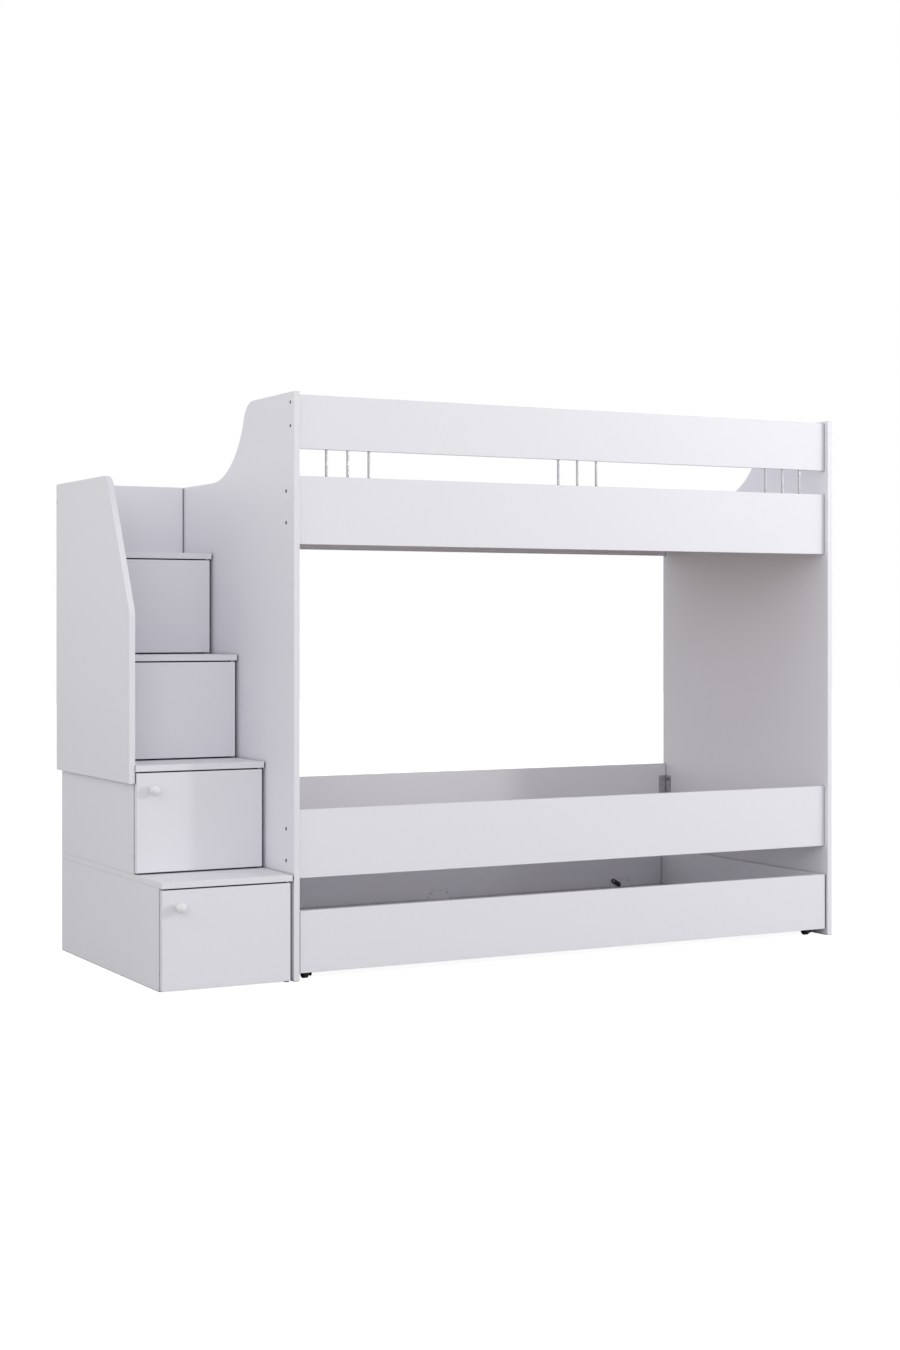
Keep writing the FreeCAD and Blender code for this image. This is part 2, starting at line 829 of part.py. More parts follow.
def door_stops():
    """Round pads on the left sides' front edges that the closed doors meet."""
    length = door_back_gap - stop_play
    x = side_centres_x[0]
    return [rod(stop_radius, length, V(x, side_front(step), z), -ALONG_Y) for step in range(step_count)
            for z in (door_bottom(step) + stop_inset, door_top(step) - stop_inset)]


def trundle_wall(x0, x1, y0, y1):
    return panel(x0, x1, y0, y1, trundle_lift, trundle_top_z)


def clip_screw_places(y, into_y, buttons):
    """Screw heads on the clips of the front or back wall: the buttons' pivots, or all the others."""
    inner = clip_screw_spacing / 2
    places = []
    for centre in clip_centres_x:
        for side in (-1, 1):
            outward = centre - bed_length / 2
            is_pivot = into_y < 0 and outward * side < 0
            if is_pivot == buttons:
                places.append(V(centre + side * inner, y + into_y * clip_thickness, clip_screw_z))
    return places


def button_places():
    return clip_screw_places(trundle_back_y, -1, True)


def pivot_screw_reach():
    """How far a button's pivot screw stands out from the clip."""
    return button_thickness + 2 * button_play


def trundle_front():
    solid = trundle_wall(trundle_left_x, trundle_right_x, trundle_setback, trundle_front_y)
    places = clip_screw_places(trundle_front_y, 1, False)
    return drilled(solid, [placed(plate_screw_hole(), place, -ALONG_Y) for place in places])


def trundle_back():
    solid = trundle_wall(trundle_left_x, trundle_right_x, trundle_back_y, trundle_back_y + board)
    places = clip_screw_places(trundle_back_y, -1, False) + button_places()
    return drilled(solid, [placed(plate_screw_hole(), place, ALONG_Y) for place in places])


def trundle_base_boards():
    x0 = trundle_left_x + board
    step = (trundle_right_x - board - x0) / trundle_board_count
    y0 = trundle_front_y + trundle_base_play
    y1 = trundle_back_y - trundle_base_play
    boards = []
    for i in range(trundle_board_count):
        start = x0 + i * step + trundle_board_gap / 2
        end = start + step - trundle_board_gap
        boards.append(panel(start, end, y0, y1, trundle_base_z, trundle_base_top))
    return boards


def bearer_starts_x():
    return (trundle_left_x + board, trundle_right_x - board - bearer_width)


def trundle_bearers():
    """Boards from front to back under the base, which carry the casters."""
    holes = [placed(plate_screw_hole(), place, ALONG_Z) for place in caster_screw_places()]
    bearers = [panel(x, x + bearer_width, trundle_front_y, trundle_back_y, bearer_z, trundle_base_z)
               for x in bearer_starts_x()]
    return [drilled(bearer, holes) for bearer in bearers]


def clip(centre, y, into_y):
    x0 = centre - clip_width / 2
    x1 = centre + clip_width / 2
    skin = y + into_y * clip_thickness
    toe = y + into_y * clip_leaf
    upright = box(x0, x1, min(y, skin), max(y, skin), clip_base_z, clip_base_z + clip_rise)
    shelf = box(x0, x1, min(y, toe), max(y, toe), clip_base_z, trundle_base_z)
    into_wall = V(0, -into_y, 0)
    places = clip_screw_places(y, into_y, False)
    holes = [placed(plate_screw_hole(), place, into_wall) for place in places]
    if into_y < 0:
        holes += [rod(plate_screw_radius + hole_clearance, 2 * clip_thickness, place, into_wall)
                  for place in button_places()]
    return drilled(upright.fuse(shelf).removeSplitter(), holes)


def trundle_clips():
    return [clip(centre, y, into_y) for y, into_y in ((trundle_front_y, 1), (trundle_back_y, -1))
            for centre in clip_centres_x]


def turn_button(place):
    """A flat arm with round ends, turned down and outwards on its screw to press on the base boards."""
    outward = math.copysign(1, place.x - bed_length / 2)
    eye = place - ALONG_Y * button_play
    slope = math.radians(button_slope_deg)
    toe = eye + V(outward / math.tan(slope), 0, -1) * button_drop
    across = V(-math.sin(slope), 0, -outward * math.cos(slope)) * (button_width / 2)
    corners = [eye + across, toe + across, toe - across, eye - across, eye + across]
    arm = Part.Face(Part.makePolygon(corners)).extrude(-ALONG_Y * button_thickness)
    ends = [rod(button_width / 2, button_thickness, end, -ALONG_Y) for end in (eye, toe)]
    hole = rod(plate_screw_radius + pin_clearance, button_thickness, eye, -ALONG_Y)
    return arm.multiFuse(ends).removeSplitter().cut(hole)


def pivot_screws():
    """The longer screws that the turn buttons turn on."""
    reach = pivot_screw_reach()
    head_start = plate_screw_head_radius - plate_screw_radius
    head = rod(plate_screw_head_radius, plate_screw_head_height, V(-plate_screw_head_height, 0, 0), ALONG_X)
    shank = rod(plate_screw_radius, reach + plate_screw_length, V(), ALONG_X)
    screw = head.fuse(shank).removeSplitter()
    rim = [edge for edge in screw.Edges if abs(edge.BoundBox.XMax + plate_screw_head_height) < touch]
    screw = screw.makeFillet(head_start / 2, rim)
    return [placed(screw, place - ALONG_Y * reach, ALONG_Y) for place in button_places()]


def trundle_screws():
    screw = plate_screw()
    screws = [placed(screw, place, -ALONG_Y) for place in clip_screw_places(trundle_front_y, 1, False)]
    screws += [placed(screw, place, ALONG_Y) for place in clip_screw_places(trundle_back_y, -1, False)]
    screws += [placed(screw, place, ALONG_Z) for place in caster_screw_places()]
    return screws + pivot_screws()


def caster_places():
    """Wheel centres: left front, right front, left back, right back."""
    x_reach = caster_margin + caster_plate_x / 2
    y_reach = caster_margin + caster_plate_y / 2
    return [V(x, y, wheel_radius) for y in (trundle_front_y + y_reach, trundle_back_y - y_reach)
            for x in (trundle_left_x + board + x_reach, trundle_right_x - board - x_reach)]


def caster_screw_places():
    z = bearer_z - caster_plate_thickness
    x_reach = caster_plate_x / 2 - caster_screw_inset
    y_reach = caster_plate_y / 2 - caster_screw_inset
    return [V(centre.x + i * x_reach, centre.y + j * y_reach, z) for centre in caster_places()
            for i in (-1, 1) for j in (-1, 1)]


def cheek_inner():
    return wheel_width / 2 + wheel_side_play


def caster_bracket(centre):
    """A plate under a bearer, and the two cheeks welded to it that hold the axle."""
    x, y, z = centre
    half_x = caster_plate_x / 2
    half_y = caster_plate_y / 2
    half_cheek = cheek_width / 2
    plate_z = bearer_z - caster_plate_thickness
    plate = box(x - half_x, x + half_x, y - half_y, y + half_y, plate_z, bearer_z)
    solids = [drilled(plate, [placed(plate_screw_hole(), place, ALONG_Z) for place in caster_screw_places()])]
    for start in (x - cheek_inner() - cheek_thickness, x + cheek_inner()):
        foot = V(start, y, z)
        round_end = rod(half_cheek, cheek_thickness, foot, ALONG_X)
        upright = box(start, start + cheek_thickness, y - half_cheek, y + half_cheek, z, plate_z)
        axle_hole = rod(axle_radius + axle_clearance, cheek_thickness, foot, ALONG_X)
        solids.append(upright.fuse(round_end).removeSplitter().cut(axle_hole))
    return solids


def caster_axle(centre):
    """A riveted axle with a low head outside each cheek."""
    reach = cheek_inner() + cheek_thickness
    shaft = rod(axle_radius, 2 * reach, centre - ALONG_X * reach, ALONG_X)
    heads = [rod(axle_head_radius, axle_head_height, centre + ALONG_X * side * reach, ALONG_X * side)
             for side in (-1, 1)]
    return shaft.multiFuse(heads).removeSplitter()


def caster_wheel(centre):
    """A wheel with rounded tread edges and a groove between hub and rim on each side."""
    half = wheel_width / 2
    tyre = rod(wheel_radius, wheel_width, centre - ALONG_X * half, ALONG_X)
    rims = [edge for edge in tyre.Edges if edge.BoundBox.XLength < touch]
    tyre = tyre.makeFillet(wheel_round, rims)
    holes = [rod(axle_radius + axle_clearance, wheel_width, centre - ALONG_X * half, ALONG_X)]
    for side in (-1, 1):
        start = centre + ALONG_X * side * half
        groove = rod(rim_inner_radius, hub_groove, start, -ALONG_X * side)
        holes.append(groove.cut(rod(hub_radius, hub_groove, start, -ALONG_X * side)))
    return drilled(tyre, holes)


def bed_pieces():
    return {
        "left_end_panel": [end_panel(1)],
        "right_end_panel": [end_panel(-1)],
        "guard_rail": [guard_rail()],
        "guard_bars": guard_bars(),
        "upper_front_rail": [upper_front_rail()],
        "upper_back_rail": [upper_back_rail()],
        "lower_front_rail": [lower_front_rail()],
        "lower_back_rail": [lower_back_rail()],
        "base_cleats": cleats(),
        "upper_base_boards": upper_base_boards(),
        "lower_slats": lower_slats(),
        "corner_angles": [corner_angle(corner) for corner in angle_corners()],
        "angle_bolts": angle_bolts(),
        "angle_nuts": angle_nuts(),
        "plate_screws": plate_screws(),
        "panel_screws": panel_screws(),
    }


def stair_pieces():
    pieces = {
        "stair_back_panel": [stair_back_panel()],
        "stair_bottom_board": [stair_bottom_board()],
        "stair_guard_panel": [stair_guard_panel()],
        "stair_dowels": stair_dowels(),
        "stair_tie_screws": stair_ties(),
        "stair_tie_spacers": tie_spacers(),
        "pivot_brackets": pivot_brackets(),
        "door_stops": door_stops(),
    }
    for step in range(step_count):
        number = str(step + 1)
        pieces["tread_" + number] = [tread(step)]
        pieces["stair_left_side_" + number] = [stair_side(step, stair_left_x)]
        pieces["stair_right_side_" + number] = [stair_side(step, stair_right_x - board)]
        pieces["door_" + number] = [door(step)]
        pieces["knob_" + number] = [knob(step)]
    return pieces


def trundle_pieces():
    side_walls = (trundle_front_y, trundle_back_y)
    pieces = {
        "trundle_front": [trundle_front()],
        "trundle_back": [trundle_back()],
        "trundle_left_side": [trundle_wall(trundle_left_x, trundle_left_x + board, *side_walls)],
        "trundle_right_side": [trundle_wall(trundle_right_x - board, trundle_right_x, *side_walls)],
        "trundle_base_boards": trundle_base_boards(),
        "trundle_bearers": trundle_bearers(),
        "trundle_clips": trundle_clips(),
        "trundle_screws": trundle_screws(),
        "caster_brackets": [solid for centre in caster_places() for solid in caster_bracket(centre)],
        "caster_axles": [caster_axle(centre) for centre in caster_places()],
    }
    for name, place in zip(("left", "right"), button_places()):
        pieces[name + "_turn_button"] = [turn_button(place)]
    corners = ("left_front", "right_front", "left_back", "right_back")
    for name, centre in zip(corners, caster_places()):
        pieces[name + "_wheel"] = [caster_wheel(centre)]
    return pieces


def main():
    os.makedirs("parts", exist_ok=True)
    for pieces in (bed_pieces(), stair_pieces(), trundle_pieces()):
        for name, solids in pieces.items():
            shape = solids[0] if len(solids) == 1 else Part.makeCompound(solids)
            shape.translated(-ORIGIN).exportStep(os.path.join("parts", name + ".step"))


if __name__ == "__main__":
    main()
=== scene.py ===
import json
import math

import bpy
from bpy.props import FloatProperty, FloatVectorProperty, IntProperty, PointerProperty
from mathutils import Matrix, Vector


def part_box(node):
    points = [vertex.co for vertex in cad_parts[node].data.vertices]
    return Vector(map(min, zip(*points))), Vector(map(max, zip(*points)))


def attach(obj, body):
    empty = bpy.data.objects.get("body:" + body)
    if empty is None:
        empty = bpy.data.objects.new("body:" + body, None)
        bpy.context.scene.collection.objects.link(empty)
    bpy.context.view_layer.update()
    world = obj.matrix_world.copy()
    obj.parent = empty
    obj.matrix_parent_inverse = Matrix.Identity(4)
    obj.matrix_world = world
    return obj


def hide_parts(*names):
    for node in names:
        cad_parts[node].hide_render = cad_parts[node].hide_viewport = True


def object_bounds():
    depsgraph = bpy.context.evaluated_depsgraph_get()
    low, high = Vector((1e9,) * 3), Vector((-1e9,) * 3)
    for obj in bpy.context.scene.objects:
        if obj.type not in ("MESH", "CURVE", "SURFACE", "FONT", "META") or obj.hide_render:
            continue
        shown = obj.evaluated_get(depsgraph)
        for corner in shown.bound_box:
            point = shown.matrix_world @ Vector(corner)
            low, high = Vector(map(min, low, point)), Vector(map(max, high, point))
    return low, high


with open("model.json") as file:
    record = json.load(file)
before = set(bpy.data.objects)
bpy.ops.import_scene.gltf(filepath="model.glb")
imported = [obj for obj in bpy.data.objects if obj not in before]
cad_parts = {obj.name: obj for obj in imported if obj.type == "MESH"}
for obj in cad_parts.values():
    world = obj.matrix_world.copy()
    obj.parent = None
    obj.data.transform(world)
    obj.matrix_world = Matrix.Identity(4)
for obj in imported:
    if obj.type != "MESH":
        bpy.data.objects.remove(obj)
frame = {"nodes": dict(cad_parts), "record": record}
CAD_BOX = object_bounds()

bl_info = {
    "name": "Bunk bed with storage stair",
    "version": (1, 0, 0),
    "blender": (4, 5, 0),
    "location": "View3D > Sidebar > Bunk bed",
    "description": "Finishes a white bunk bed with a storage stair and a trundle in a plain studio",
    "category": "Object",
}

NODES = frame["nodes"]

# The picture's long side, and how far its middle lies from the lens axis, in pixels; the sensor in mm
IMAGE_LONG_SIDE = 1350
SHIFT_RIGHT = 9.2
SHIFT_UP = -51.6
SENSOR = 36

# The point that the camera and the lamps are placed from: the left end panel's front foot
FRONT_FOOT = Vector(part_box("left_end_panel")[0])
# How far outside the left end panel the stair's own screws start
BOLT_MARGIN = 0.002

# Sockets of a Mix node that mixes colours
MIX_FIRST = 6
MIX_SECOND = 7
MIX_RESULT = 2

# Rays of the edge mask and of the painted seam shade's mask, and the readings between which each mask fades
MASK_SAMPLES = 6
EDGE_FADE = (0.75, 0.99)
SEAM_SHADE_FADE = (0.3, 0.85)
# Readings of the noise between which a flake shows, and of the upward facing at which the white coat starts
FLAKE_FADE = (0.4, 0.62)
COAT_FADE = (0.8, 0.9)

# Depths of the bumped skins in metres
BOARD_SKIN = 0.0001
METAL_SKIN = 0.00005
MOULDED_SKIN = 0.00008
GLOSS_SKIN = 0.00003

# How a pattern's grains are squeezed along x, y and z; a small share draws them out
EVEN = (1.0, 1.0, 1.0)
FLAKE_STRETCH = (1.0, 0.45, 1.0)
DRAWN_STRETCH = (1.0, 1.0, 0.02)
STREAK_STRETCH = (1.0, 1.0, 0.08)

# Colours that go with no setting, and how bright white paint is where it is handled
RUBBER = (0.66, 0.66, 0.64)
WORN_RUBBER = (0.58, 0.58, 0.56)
NYLON = (0.56, 0.56, 0.56)
WORN_NYLON = (0.5, 0.5, 0.5)
WHEEL_BLACK = (0.018, 0.018, 0.02)
WORN_WHEEL = (0.03, 0.03, 0.032)
WORN_BLACK = (0.035, 0.035, 0.037)
BEECH = (0.66, 0.47, 0.29)
DARK_BEECH = (0.5, 0.33, 0.18)
WORN_WHITE = 0.96

# Turned pieces: their fineness, the flat at a ball's tip and the angle over which an edge stays sharp
BAR_SIDES = 32
BALL_RINGS = 16
BALL_TIP = math.radians(4)
SMOOTH_ANGLE = math.radians(40)

# A knob's stem: heights over the door, and how much narrower or wider than foot and waist it is there
FOOT_LIP = 0.0012
FOOT_SHOULDER = 0.0022
SHOULDER_EASE = 0.0008
NECK = 0.0045
NECK_EASE = 0.0007
WAIST = 0.007
BALL_FLARE = 0.0012

# A wheel's side: width of the rim, eased corners, slope of the dish and roundness of the tread
RIM_WIDTH = 0.004
RIM_EASE = 0.0004
DISH_SLOPE = 0.0006
TREAD_ROUND = 0.002
TREAD_DEGREES = range(15, 91, 15)
WELD = 0.00001

DOORS = ("door_1", "door_2", "door_3", "door_4")
KNOBS = ("knob_1", "knob_2", "knob_3", "knob_4")
WHEELS = ("left_front_wheel", "right_front_wheel", "left_back_wheel", "right_back_wheel")


def nodes_with(slot):
    """The names of the nodes to which the record gives a material slot."""
    return [part["node"] for part in frame["record"]["subparts"] if part["material_slot"] == slot]


def body_of(node):
    """The name of the body that a node belongs to."""
    for body, nodes in frame["record"]["behaviour"]["bodies"].items():
        if node in nodes:
            return body
    raise RuntimeError("no body holds " + node)


def add_node(tree, kind, values=(), **settings):
    """A shader node with its settings and the values of its sockets."""
    node = tree.nodes.new(kind)
    for name, value in settings.items():
        setattr(node, name, value)
    for socket, value in values:
        node.inputs[socket].default_value = value
    return node


def noise(tree, place, scale, detail=2.0, stretch=EVEN):
    """The value of a noise pattern that is fixed to the piece; scale counts its grains along a metre."""
    mapping = add_node(tree, "ShaderNodeMapping", [("Scale", stretch)])
    pattern = add_node(tree, "ShaderNodeTexNoise", [("Scale", scale), ("Detail", detail)])
    tree.links.new(place, mapping.inputs["Vector"])
    tree.links.new(mapping.outputs["Vector"], pattern.inputs["Vector"])
    return pattern.outputs["Fac"]


def remap(tree, value, low, high, start=0.3, end=0.7):
    """A value between low and high, from a pattern's value between start and end."""
    spread = add_node(tree, "ShaderNodeMapRange",
                      [("From Min", start), ("From Max", end), ("To Min", low), ("To Max", high)])
    tree.links.new(value, spread.inputs["Value"])
    return spread.outputs["Result"]


def blend_colours(tree, factor, first, second):
    """A colour between two: each is a plain colour or the output of another node."""
    mix = add_node(tree, "ShaderNodeMix", data_type="RGBA")
    tree.links.new(factor, mix.inputs["Factor"])
    for socket, colour in ((mix.inputs[MIX_FIRST], first), (mix.inputs[MIX_SECOND], second)):
        if isinstance(colour, bpy.types.NodeSocket):
            tree.links.new(colour, socket)
        else:
            socket.default_value = (*colour, 1.0)
    return mix.outputs[MIX_RESULT]


def edge_mask(tree, width):
    """1 on the eased edges of a board and 0 on its flat faces."""
    bevel = add_node(tree, "ShaderNodeBevel", [("Radius", width)], samples=MASK_SAMPLES)
    flat = add_node(tree, "ShaderNodeNewGeometry")
    likeness = add_node(tree, "ShaderNodeVectorMath", operation="DOT_PRODUCT")
    tree.links.new(bevel.outputs["Normal"], likeness.inputs[0])
    tree.links.new(flat.outputs["Normal"], likeness.inputs[1])
    return remap(tree, likeness.outputs["Value"], 1.0, 0.0, *EDGE_FADE)


def seam_shade_mask(tree, reach):
    """1 where other surfaces lie near, deep in seams, recesses and inside corners, and 0 on open faces; it
    places painted shade.
    """
    open_share = add_node(tree, "ShaderNodeAmbientOcclusion", [("Distance", reach)], samples=MASK_SAMPLES)
    return remap(tree, open_share.outputs["AO"], 1.0, 0.0, *SEAM_SHADE_FADE)


def relief(tree, height, depth, strength):
    """A bumped normal from a pattern's height; depth is in metres."""
    bump = add_node(tree, "ShaderNodeBump", [("Strength", strength), ("Distance", depth)])
    tree.links.new(height, bump.inputs["Height"])
    return bump.outputs["Normal"]


def new_material(name):
    """A new material: its node tree, its surface shader and the piece's own coordinates."""
    material = bpy.data.materials.new(name)
    material.use_nodes = True
    tree = material.node_tree
    surface = tree.nodes["Principled BSDF"]
    place = add_node(tree, "ShaderNodeTexCoord").outputs["Object"]
    return material, tree, surface, place


def shaded(value, share):
    """A colour at a share of its brightness."""
    return tuple(channel * share for channel in value)


def white_melamine(look):
    """Satin melamine: a faint speckle, a fine pebbled skin, greyer edge bands, and painted shade that darkens
    the seams and inside corners where other boards lie near.
    """
    material, tree, surface, place = new_material("white_melamine")
    white = tuple(look.board_colour)
    gloss_spread = 0.03
    pebble = noise(tree, place, look.pebble_scale, detail=1.0)
    face = blend_colours(tree, remap(tree, pebble, 0.0, 1.0), white, shaded(white, look.speckle_tone))
    banded = blend_colours(tree, edge_mask(tree, look.edge_band), face, shaded(white, look.edge_tone))
    # Painted shade: the colour darkens in seams and inside corners where another board lies near
    seam_shaded = blend_colours(tree, seam_shade_mask(tree, look.seam_shade_reach), banded, shaded(white, look.seam_shade_tone))
    sheen = remap(tree, pebble, look.board_gloss - gloss_spread, look.board_gloss + gloss_spread)
    tree.links.new(seam_shaded, surface.inputs["Base Color"])
    tree.links.new(sheen, surface.inputs["Roughness"])
    tree.links.new(relief(tree, pebble, BOARD_SKIN, strength=0.06), surface.inputs["Normal"])
    return material


def base_board(look):
    """Chipboard: raw brown flakes below and at the edges, white melamine on the top face."""
    material, tree, surface, place = new_material("base_chipboard")
    raw = tuple(look.base_colour)
    white = tuple(look.coat_colour)
    flake_scale = 260.0
    flake_tone = 0.72
    dust_scale = 900.0
    dust_tone = 0.9
    coat_tone = 0.98
    raw_roughness = 0.7
    coat_roughness = 0.48
    chips = noise(tree, place, flake_scale, detail=3.0, stretch=FLAKE_STRETCH)
    flakes = remap(tree, chips, 0.0, 1.0, *FLAKE_FADE)
    dust = remap(tree, noise(tree, place, dust_scale), 0.0, 1.0)
    flaked = blend_colours(tree, flakes, raw, shaded(raw, flake_tone))
    bare = blend_colours(tree, dust, flaked, shaded(raw, dust_tone))
    coat = blend_colours(tree, dust, white, shaded(white, coat_tone))
    facing = add_node(tree, "ShaderNodeSeparateXYZ")
    tree.links.new(add_node(tree, "ShaderNodeTexCoord").outputs["Normal"], facing.inputs["Vector"])
    on_top = remap(tree, facing.outputs["Z"], 0.0, 1.0, *COAT_FADE)
    sheen = remap(tree, on_top, raw_roughness, coat_roughness, 0.0, 1.0)
    tree.links.new(blend_colours(tree, on_top, bare, coat), surface.inputs["Base Color"])
    tree.links.new(sheen, surface.inputs["Roughness"])
    tree.links.new(relief(tree, dust, BOARD_SKIN, strength=0.12), surface.inputs["Normal"])
    return material


def metal(name, colour, roughness, grain, stretch, tarnish):
    """Plated steel with a fine grain, faint dull patches and painted shade that darkens its recesses and
    inside corners.
    """
    material, tree, surface, place = new_material(name)
    surface.inputs["Metallic"].default_value = 1.0
    patch_scale = 60.0
    # How near another surface must lie, and how dark the painted shade in recesses gets
    recess_shade_reach = 0.01
    recess_shade_tone = 0.2
    smoother = 0.08
    rougher = 0.1
    patch = remap(tree, noise(tree, place, patch_scale, detail=3.0), 0.0, 1.0)
    line = noise(tree, place, grain, stretch=stretch)
    patched = blend_colours(tree, patch, colour, shaded(colour, tarnish))
    # Painted shade: the colour darkens where other surfaces lie near, in recesses and inside corners
    recess_shaded = blend_colours(tree, seam_shade_mask(tree, recess_shade_reach), patched, shaded(colour, recess_shade_tone))
    sheen = remap(tree, line, roughness - smoother, roughness + rougher)
    tree.links.new(recess_shaded, surface.inputs["Base Color"])
    tree.links.new(sheen, surface.inputs["Roughness"])
    tree.links.new(relief(tree, line, METAL_SKIN, strength=0.15), surface.inputs["Normal"])
    return material


def bolt_steel(look):
    """Dark heads on the bed's end panels, zinc ones on the stair, told apart by their place along the bed."""
    material, tree, surface, place = new_material("bolt_steel")
    surface.inputs["Metallic"].default_value = 1.0
    black = tuple(look.bolt_colour)
    zinc = tuple(look.zinc_colour)
    grime_scale = 600.0
    grime_tone = 0.7
    clean_roughness = 0.42
    grimy_roughness = 0.55
    along = add_node(tree, "ShaderNodeSeparateXYZ")
    tree.links.new(place, along.inputs["Vector"])
    stair_edge = FRONT_FOOT.x - BOLT_MARGIN
    on_bed = remap(tree, along.outputs["X"], 0.0, 1.0, stair_edge - BOLT_MARGIN / 2, stair_edge)
    grime = remap(tree, noise(tree, place, grime_scale), 0.0, 1.0)
    dark = blend_colours(tree, grime, black, shaded(black, grime_tone))
    sheen = remap(tree, grime, clean_roughness, grimy_roughness)
    tree.links.new(blend_colours(tree, on_bed, zinc, dark), surface.inputs["Base Color"])
    tree.links.new(sheen, surface.inputs["Roughness"])
    return material


def moulded(name, colour, roughness, grain, worn, depth=MOULDED_SKIN):
    """Moulded or painted surface with a fine skin, which changes its tone and gloss where it is handled."""
    material, tree, surface, place = new_material(name)
    wear_scale = 45.0
    smoother = 0.05
    rougher = 0.06
    handled = remap(tree, noise(tree, place, wear_scale, detail=4.0), 0.0, 1.0)
    skin = noise(tree, place, grain)
    sheen = remap(tree, handled, roughness - smoother, roughness + rougher)
    tree.links.new(blend_colours(tree, handled, colour, worn), surface.inputs["Base Color"])
    tree.links.new(sheen, surface.inputs["Roughness"])
    tree.links.new(relief(tree, skin, depth, strength=0.1), surface.inputs["Normal"])
    return material


def beech():
    """Pale turned wood with streaks along the piece."""
    material, tree, surface, place = new_material("beech")
    streak_scale = 90.0
    pale_roughness = 0.5
    dark_roughness = 0.65
    grain = noise(tree, place, streak_scale, detail=5.0, stretch=STREAK_STRETCH)
    streak = remap(tree, grain, 0.0, 1.0)
    sheen = remap(tree, streak, pale_roughness, dark_roughness)
    tree.links.new(blend_colours(tree, streak, BEECH, DARK_BEECH), surface.inputs["Base Color"])
    tree.links.new(sheen, surface.inputs["Roughness"])
    return material


def paint(nodes, material):
    """Gives CAD nodes a finish, and leaves their meshes alone."""
    for name in nodes:
        piece = NODES[name]
        if not piece.material_slots:
            raise RuntimeError(name + " has no material slot")
        for slot in piece.material_slots:
            slot.material = material


def start_fresh():
    """Nothing selected, so that the next primitive is alone."""
    bpy.ops.object.select_all(action="DESELECT")


def turned(name, rings, sides, material):
    """A piece turned about its own z axis: rings are (height, radius) from its foot to its tip."""
    start_fresh()
    height, radius = rings[0]
    bpy.ops.mesh.primitive_circle_add(vertices=sides, radius=radius, fill_type="NGON",
                                      location=(0, 0, height))
    piece = bpy.context.object
    piece.name = name
    bpy.ops.object.mode_set(mode="EDIT")
    bpy.ops.mesh.select_all(action="SELECT")
    for next_height, next_radius in rings[1:]:
        bpy.ops.mesh.extrude_region_move(TRANSFORM_OT_translate={"value": (0, 0, next_height - height)})
        share = next_radius / radius
        bpy.ops.transform.resize(value=(share, share, 1))
        height, radius = next_height, next_radius
    bpy.ops.mesh.select_all(action="SELECT")
    bpy.ops.mesh.normals_make_consistent(inside=False)
    bpy.ops.object.mode_set(mode="OBJECT")
    bpy.ops.object.shade_smooth_by_angle(angle=SMOOTH_ANGLE)
    piece.data.materials.append(material)
    return piece


def copied(piece, name):
    """A copy with its own mesh."""
    start_fresh()
    piece.select_set(True)
    bpy.context.view_layer.objects.active = piece
    bpy.ops.object.duplicate(linked=False)
    copy = bpy.context.object
    copy.name = name
    copy.data.name = name
    return copy


def settle(piece, place, turn=(0.0, 0.0, 0.0)):
    """Moves a piece to its place and puts that place into its mesh."""
    start_fresh()
    piece.select_set(True)
    bpy.context.view_layer.objects.active = piece
    piece.rotation_euler = turn
    piece.location = place
    bpy.ops.object.transform_apply(location=True, rotation=True, scale=True)


def remove(piece):
    """Deletes a pattern once its copies stand in their places."""
    start_fresh()
    piece.select_set(True)
    bpy.ops.object.delete()


def ball_rings(centre, radius, start, count):
    """Rings of a ball from the angle start, counted from its tip, to a small flat at the tip."""
    angles = [start + (BALL_TIP - start) * i / count for i in range(count + 1)]
    return [(centre + radius * math.cos(angle), radius * math.sin(angle)) for angle in angles]


class BoardLook(bpy.types.PropertyGroup):
    """Finish of the white boards."""
    board_colour: FloatVectorProperty(name="Board colour", description="Colour of the melamine",
                                      subtype="COLOR", default=(0.81, 0.805, 0.855), min=0.0, max=1.0)
    board_gloss: FloatProperty(name="Board roughness", description="Roughness of the melamine",
                               subtype="FACTOR", default=0.45, min=0.05, max=1.0)
    speckle_tone: FloatProperty(name="Speckle tone",
                                description="Brightness of the darker grains of the skin",
                                subtype="FACTOR", default=0.985, min=0.0, max=1.0)
    edge_tone: FloatProperty(name="Edge tone",
                             description="Brightness of the edge bands against the faces",
                             subtype="FACTOR", default=0.94, min=0.0, max=1.0)
    edge_band: FloatProperty(name="Edge width",
                             description="How far the edge band's line reaches over an edge",
                             default=0.0012, min=0.0002, max=0.01, subtype="DISTANCE", unit="LENGTH",
                             precision=4)
    # Brightness of the painted shade deep in the seams between boards
    seam_shade_tone: FloatProperty(name="Seam tone", description="Brightness deep in the seams between boards",
                             subtype="FACTOR", default=0.4, min=0.0, max=1.0)
    # How near another board must lie for the painted seam shade to darken a face
    seam_shade_reach: FloatProperty(name="Seam reach", description="How near another board darkens a seam",
                              default=0.008, min=0.001, max=0.05, subtype="DISTANCE", unit="LENGTH",
                              precision=4)
    pebble_scale: FloatProperty(name="Pebbles along a metre", description="How fine the pebbled skin is",
                                default=900.0, min=50.0, max=5000.0)


